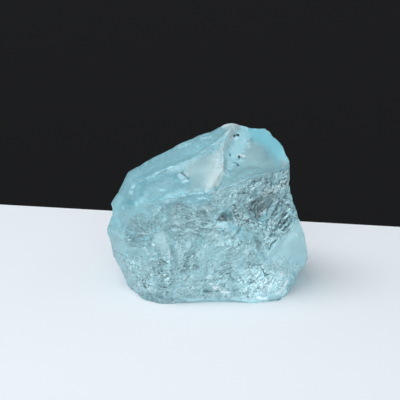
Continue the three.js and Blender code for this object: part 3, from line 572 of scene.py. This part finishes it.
places, facing = corners()
along, up = math.cos(GRAIN_TURN), math.sin(GRAIN_TURN)
rising = np.stack(
    [
        places[:, 0] * along + places[:, 2] * up,
        places[:, 1],
        places[:, 2] * along - places[:, 0] * up,
    ],
    1,
)
steps, facets = [
    (1 - finish["slant"]) * flat + finish["slant"] * slanted
    for flat, slanted in (
        (lumps(places / LEVEL_STEP, LEVEL_SEED), lumps(rising / RISING_STEP, RISING_SEED)),
        (chips(places / CHIP), chips(rising / CHIP)),
    )
]
depth = finish["torn"] * (ALL_OVER + BY_STEPS * np.abs(steps) + BY_CHIPS * np.clip(facets + 0.5, 0, 1))
dark_reach, dark_strength = nearness(stroke_points(DARK_STROKES), places)
pale_reach, pale_strength = nearness(stroke_points(PALE_STROKES), places)
depth += BY_STROKES * dark_strength * ease(-dark_reach, -0.15, 0.1)
above_the_foot = ease(places[:, 2], 0.1, 0.9)
places -= (CUT * depth * above_the_foot)[:, None] * facing
stone.data.vertices.foreach_set("co", (places * MM).ravel())

# The material reads the finish and the strokes from the surface.
finish["dark"], finish["dark_reach"] = dark_strength, np.minimum(dark_reach, 1)
finish["pale"], finish["pale_reach"] = pale_strength, np.minimum(pale_reach, 1)
for name, values in finish.items():
    layer = stone.data.attributes.new(name, "FLOAT", "POINT")
    layer.data.foreach_set("value", values)
stone.data.update()

# The thinning below counts triangles, so every face becomes one.
bpy.ops.object.mode_set(mode="EDIT")
bpy.ops.mesh.select_all(action="SELECT")
bpy.ops.mesh.quads_convert_to_tris()
bpy.ops.object.mode_set(mode="OBJECT")

# The plain places, which are smooth, away from the front and clear of the strokes, are given fewer triangles,
# so that the torn ones can have more.
MOST_TRIANGLES = 190000
SHARP_EDGE = math.radians(38)
CALM_BELOW, TURNED_BY, CLEAR_BY = 0.35, -0.3, 0.5
clear_of_strokes = np.minimum(dark_reach, pale_reach) > CLEAR_BY
plain_enough = (finish["torn"] < CALM_BELOW) & (facing[:, 1] > TURNED_BY) & clear_of_strokes
stone.vertex_groups.new(name="plain").add(np.nonzero(plain_enough)[0].tolist(), 1.0, "REPLACE")
thinning = stone.modifiers.new("thinning", "DECIMATE")
thinning.vertex_group, thinning.ratio = "plain", min(1, MOST_TRIANGLES / len(stone.data.polygons))
bpy.ops.object.modifier_apply(modifier="thinning")
stone.vertex_groups.clear()
bpy.ops.object.shade_smooth_by_angle(angle=SHARP_EDGE)


class Wire:
    """A socket in a material's nodes, so that shader sums read as plain arithmetic."""

    def __init__(self, tree, socket=None):
        self.tree, self.socket = tree, socket

    def node(self, kind, settings, inputs, output=0):
        """Adds a node of any kind, sets it up, then fills or links its sockets."""
        made = self.tree.nodes.new(kind)
        for name, value in settings.items():
            setattr(made, name, value)
        for name, value in inputs.items():
            if isinstance(value, Wire):
                self.tree.links.new(value.socket, made.inputs[name])
            else:
                made.inputs[name].default_value = value
        return Wire(self.tree, made.outputs[output] if made.outputs else None)

    def beside(self, output):
        """Another output of the same node."""
        return Wire(self.tree, self.socket.node.outputs[output])

    def number(self, operation, a, b=0.0):
        """A Math node."""
        return self.node("ShaderNodeMath", {"operation": operation}, {0: a, 1: b})

    def vector(self, operation, a, b, output=0):
        """A Vector Math node on two vectors."""
        return self.node("ShaderNodeVectorMath", {"operation": operation}, {0: a, 1: b}, output)

    def longer(self, times):
        """This vector, so many times as long."""
        return self.node("ShaderNodeVectorMath", {"operation": "SCALE"}, {0: self, "Scale": times})

    def between(self, start, end, low=0.0, high=1.0):
        """Low up to the start, high past the end, and smooth between them."""
        return self.node(
            "ShaderNodeMapRange",
            {"interpolation_type": "SMOOTHSTEP"},
            {"Value": self, "From Min": start, "From Max": end, "To Min": low, "To Max": high},
        )

    def line(self, start, end):
        """A thin line where this noise passes its middle value, soft from the start and full at the end."""
        return self.number("ABSOLUTE", self - 0.5).between(start, end)

    def __add__(self, other):
        return self.number("ADD", self, other)

    def __sub__(self, other):
        return self.number("SUBTRACT", self, other)

    def __rsub__(self, other):
        return self.number("SUBTRACT", other, self)

    def __mul__(self, other):
        return self.number("MULTIPLY", self, other)

    __radd__, __rmul__ = __add__, __mul__


def chipped(pen, place, grain, sizes):
    """Small flat chips, laid along the grain in degrees and of the sizes in millimetres: the relief of each,
    its own painted shade, and the thin dark and pale lines of painted shade and sparkle that run among them."""
    along = pen.node(
        "ShaderNodeMapping",
        {"vector_type": "TEXTURE"},
        {"Vector": place, "Rotation": (0, -math.radians(grain), 0), "Scale": [size * MM for size in sizes]},
    )
    ragged = pen.node(
        "ShaderNodeTexNoise", {}, {"Vector": along, "Scale": 1.1, "Detail": 3.0, "Roughness": 0.6}, "Color"
    )
    spot = pen.vector("ADD", along, ragged.longer(0.9))
    colour = pen.node("ShaderNodeTexVoronoi", {}, {"Vector": spot, "Scale": 1.0}, "Color")
    tilt = pen.vector("SUBTRACT", colour, (0.5, 0.5, 0.5))
    relief = pen.vector("DOT_PRODUCT", tilt, pen.vector("SUBTRACT", spot, colour.beside("Position")), "Value")
    shade = pen.node("ShaderNodeSeparateColor", {}, {"Color": colour}, "Red")
    vein = pen.node(
        "ShaderNodeTexNoise",
        {},
        {"Vector": spot, "Scale": 0.62, "Detail": 2.0, "Roughness": 0.65, "Distortion": 0.9},
    )
    thread = pen.node(
        "ShaderNodeTexNoise", {}, {"Vector": spot, "Scale": 0.85, "Detail": 1.0, "Distortion": 1.4}
    )
    return relief, shade, vein.line(0.042, 0.016), thread.line(0.022, 0.006)


LEVEL_CHIPS = 0, (0.66, 0.42, 0.24)  # the grain in degrees and the sizes in millimetres
RISING_CHIPS = 42, (0.95, 0.4, 0.26)
BEND = 1.1 * MM  # how far the rows of chips bend
BUMP_HEIGHT = 0.17 * MM
GLASSY_ROUGHNESS, FROST_ROUGHNESS = 0.06, 0.55  # the bare glassy stone, and what full frost adds
# The powder is crushed topaz, which still passes some colour; the painted sparkle takes this colour too.
BLUISH_POWDER_AND_SPARKLE = (0.62, 0.9, 0.95, 1)  # crushed topaz still passes some colour
# The white of the pale strokes: crushed chips, and painted highlights on lit edges and glints.
WHITE_POWDER_AND_HIGHLIGHT = (0.84, 0.87, 0.93, 1)
SKY_BLUE, DEPTH_OF_BLUE = (0.18, 0.94, 1.0, 1.0), 32.0  # what the clear stone absorbs
COLOUR_A, COLOUR_B, MIXED_COLOUR = 6, 7, 2  # a Mix node's sockets for colours


def clear_topaz():
    """Clear blue topaz, with crushed white stone over it where its surface is broken, and painted shade,
    sparkle and highlights in its colour.
    """
    material = bpy.data.materials.new("clear_topaz")
    material.use_nodes = True
    tree = material.node_tree
    tree.nodes.clear()
    pen = Wire(tree)
    place = pen.node("ShaderNodeTexCoord", {}, {}, "Object")
    frost, torn, speckle, tone, slant, chalk, blue, dark, dark_reach, pale, pale_reach = [
        pen.node("ShaderNodeAttribute", {"attribute_name": name}, {}, "Fac")
        for name in (
            "frost", "torn", "speckle", "tone", "slant", "chalk", "blue",
            "dark", "dark_reach", "pale", "pale_reach",
        )
    ]

    # The chips of the torn faces, in bent rows, level or rising to the right.
    swirl = pen.node("ShaderNodeTexNoise", {}, {"Vector": place, "Scale": 200.0, "Detail": 1.0}, "Color")
    bent = pen.vector("ADD", place, swirl.longer(BEND))
    relief, shade, dark_line, pale_line = [
        flat + (slanted - flat) * slant
        for flat, slanted in zip(chipped(pen, bent, *LEVEL_CHIPS), chipped(pen, bent, *RISING_CHIPS))
    ]

    # Grain of four sizes, in lumps to the metre: fine dust, specks, ragged edges and broad patches.
    dust, speck, ragged, patch = [
        pen.node(
            "ShaderNodeTexNoise", {}, {"Vector": place, "Scale": many, "Detail": detail, "Roughness": rough}
        )
        for many, detail, rough in (
            (5600.0, 1.0, 0.6), (3300.0, 2.0, 0.6), (1700.0, 3.0, 0.7), (500.0, 2.0, 0.5)
        )
    ]

    # Relief too fine for the mesh: the chips and specks of the torn faces, and slight ripples all over.
    laid = pen.node(
        "ShaderNodeMapping",
        {"vector_type": "TEXTURE"},
        {"Vector": place, "Rotation": (0.3, -0.5, 0.2), "Scale": (5 * MM, 4 * MM, 0.7 * MM)},
    )
    ripple = pen.node(
        "ShaderNodeTexNoise", {}, {"Vector": laid, "Scale": 1.0, "Detail": 2.0, "Roughness": 0.5}
    )
    height = (relief + speck * 0.5) * torn + ripple * 0.12
    bump = pen.node("ShaderNodeBump", {}, {"Strength": 1.0, "Distance": BUMP_HEIGHT, "Height": height})

    # The painted speck shading of each spot, by its chip's shade, the specks, the dust and the patches. The
    # high values
    #     are painted shadow, as the dark lines and ragged scratches are, and the low ones and the pale lines
    #     painted sparkle.
    speck_shading = shade * 0.3 + speck * 0.75 + dust * 0.5 + (patch - 0.5) * 0.35 - 0.175
    lines = pen.number("MAXIMUM", dark_line * 0.9, ragged.line(0.03, 0.01) * 0.5)
    gaps = pen.number("MAXIMUM", speck_shading.between(0.66, 0.76, 0.0, 0.85), lines)
    shadow = pen.number("MINIMUM", gaps * speckle, 0.9)
    edges = pen.number("MAXIMUM", speck_shading.between(0.53, 0.43, 0.0, 0.55), pale_line * 0.65)
    sparkle = edges * speckle * (1 - dark_line)

    # The strokes, with ragged edges: painted shade in the dark pits and cracks, and the pale strokes, white
    # as crushed
    #     chips in part and as painted highlights on lit edges and glints in part.
    edge = (ragged - 0.5) * 0.5 + (dust - 0.5) * 0.25
    pit_shade = (dark_reach + edge * 1.3).between(0.07, -0.07) * dark
    chip_and_highlight = (pale_reach + edge * 2.4).between(0.17, -0.17) * pale * 0.75

    # The tint, with painted shade and sparkle: less light in the shadows and the pits' painted shade, bluer
    # in the shadows and whiter where it sparkles.
    light = (tone * (1 - shadow) + sparkle * 0.3) * (1 - pit_shade)
    cool = blue + shadow * 0.35 - sparkle * 0.6
    tint = pen.node(
        "ShaderNodeCombineColor",
        {},
        {"Red": light * (1 - 0.24 * cool), "Green": light * (1 - 0.045 * cool), "Blue": light},
    )
    # The white part's colour, for crushed white stone and for the painted sparkle and highlights.
    powder_and_glint = pen.node(
        "ShaderNodeMix",
        {"data_type": "RGBA"},
        {"Factor": chip_and_highlight, COLOUR_A: BLUISH_POWDER_AND_SPARKLE, COLOUR_B: WHITE_POWDER_AND_HIGHLIGHT},
        MIXED_COLOUR,
    )
    chalk_and_highlight_tint = pen.node(
        "ShaderNodeMix",
        {"data_type": "RGBA", "blend_type": "MULTIPLY"},
        {"Factor": 1.0, COLOUR_A: tint, COLOUR_B: powder_and_glint},
        MIXED_COLOUR,
    )

    clear = pen.node(
        "ShaderNodeBsdfPrincipled",
        {},
        {
            "Base Color": tint,
            "Roughness": frost * FROST_ROUGHNESS + GLASSY_ROUGHNESS,
            "IOR": 1.62,
            "Transmission Weight": 1.0,
            "Normal": bump,
        },
    )
    white = pen.node(
        "ShaderNodeBsdfPrincipled",
        {},
        {"Base Color": chalk_and_highlight_tint, "Roughness": 0.5, "Specular IOR Level": 0.2, "Normal": bump},
    )
    share = pen.node(
        "ShaderNodeMath", {"operation": "ADD", "use_clamp": True}, {0: (chalk + sparkle) * (1 - pit_shade), 1: chip_and_highlight}
    )
    surface = pen.node("ShaderNodeMixShader", {}, {0: share, 1: clear, 2: white})
    inside = pen.node("ShaderNodeVolumeAbsorption", {}, {"Color": SKY_BLUE, "Density": DEPTH_OF_BLUE})
    pen.node("ShaderNodeOutputMaterial", {}, {"Surface": surface, "Volume": inside})
    return material


stone.data.materials.clear()
stone.data.materials.append(clear_topaz())
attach(stone, "root")
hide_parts("topaz_crystal")

# The table: a plain pale top under smooth matt cloth, on which the stone lies. Its far edge is just behind
# the stone, and farther off on the left.
TABLE_WIDTH, TABLE_DEPTH = 0.9, 0.6
TABLE_FAR_EDGE = 41 * MM
TABLE_EDGE_TURN = math.radians(11)


def plain(name, colour, roughness):
    """A plain matt material."""
    material = bpy.data.materials.new(name)
    material.use_nodes = True
    shader = material.node_tree.nodes["Principled BSDF"]
    shader.inputs["Base Color"].default_value = (*colour, 1.0)
    shader.inputs["Roughness"].default_value = roughness
    return material


bpy.ops.object.select_all(action="DESELECT")
bpy.ops.mesh.primitive_plane_add(size=1.0, location=(0, 0, 0))
table = bpy.context.object
table.name = "table_top"
table.scale = (TABLE_WIDTH, TABLE_DEPTH, 1)
table.rotation_euler = (0, 0, -TABLE_EDGE_TURN)
table.location = (0, TABLE_FAR_EDGE - TABLE_DEPTH / 2 / math.cos(TABLE_EDGE_TURN), 0)
bpy.ops.object.transform_apply(location=True, rotation=True, scale=True)
table.data.materials.append(plain("pale_cloth", (0.835, 0.868, 0.9), 0.9))

# The backdrop: plain charcoal cloth with no shine, hung upright well behind the table, where little light
# falls on it.
BACKDROP_WIDTH, BACKDROP_HEIGHT, BACKDROP_BEHIND = 1.4, 0.9, 0.6
UPRIGHT = (math.radians(90), 0, 0)

bpy.ops.object.select_all(action="DESELECT")
bpy.ops.mesh.primitive_plane_add(size=1.0, location=(0, BACKDROP_BEHIND, 0), rotation=UPRIGHT)
backdrop = bpy.context.object
backdrop.name = "dark_backdrop"
backdrop.scale = (BACKDROP_WIDTH, BACKDROP_HEIGHT, 1)
bpy.ops.object.transform_apply(location=True, rotation=True, scale=True)
backdrop.data.materials.append(plain("charcoal", (0.006, 0.006, 0.0065), 1.0))

# The lights: two wide soft ones of a cool white, one overhead and to the left and one low in front, in a dim
# even room.
COOL_WHITE = (0.97, 0.98, 1.0)


def soft_light(name, place, aim, size, watts):
    """A round lamp at a place in metres, turned towards its aim."""
    lamp = bpy.data.lights.new(name, "AREA")
    lamp.shape, lamp.size, lamp.energy, lamp.color = "DISK", size, watts, COOL_WHITE
    holder = bpy.data.objects.new(name, lamp)
    bpy.context.collection.objects.link(holder)
    holder.location = place
    holder.rotation_euler = (Vector(aim) - Vector(place)).to_track_quat("-Z", "Y").to_euler()


soft_light("overhead", (-0.23, -0.04, 0.5), (0, 0, 0.01), size=0.42, watts=1.6)
soft_light("front fill", (-0.03, -0.62, 0.16), (0, 0, 0.015), size=0.5, watts=2.55)

room = bpy.data.worlds.new("room")
bpy.context.scene.world = room
room.use_nodes = True
glow = room.node_tree.nodes["Background"]
glow.inputs["Color"].default_value = (0.92, 0.96, 1.0, 1.0)
glow.inputs["Strength"].default_value = 0.47

# The camera: in front, looking down a little on the stone, and raised along its own upright so that the
# stone lies low in the view.
CAMERA_ELEVATION = math.radians(16)
CAMERA_DISTANCE = 0.232
LENS, SENSOR = 110.7, 36
AIM = Vector((-1.566, 0, 13)) * MM
LIFT = 2.41 * MM

back = Vector((0, -math.cos(CAMERA_ELEVATION), math.sin(CAMERA_ELEVATION)))
upright = Vector((0, math.sin(CAMERA_ELEVATION), math.cos(CAMERA_ELEVATION)))
viewer = bpy.data.objects.new("camera", bpy.data.cameras.new("camera"))
bpy.context.collection.objects.link(viewer)
viewer.data.lens, viewer.data.sensor_width = LENS, SENSOR
viewer.data.clip_start, viewer.data.clip_end = 0.01, 5
viewer.location = AIM + upright * LIFT + back * CAMERA_DISTANCE
viewer.rotation_euler = (-back).to_track_quat("-Z", "Y").to_euler()
bpy.context.scene.camera = viewer
bpy.context.scene.view_settings.view_transform = "Standard"
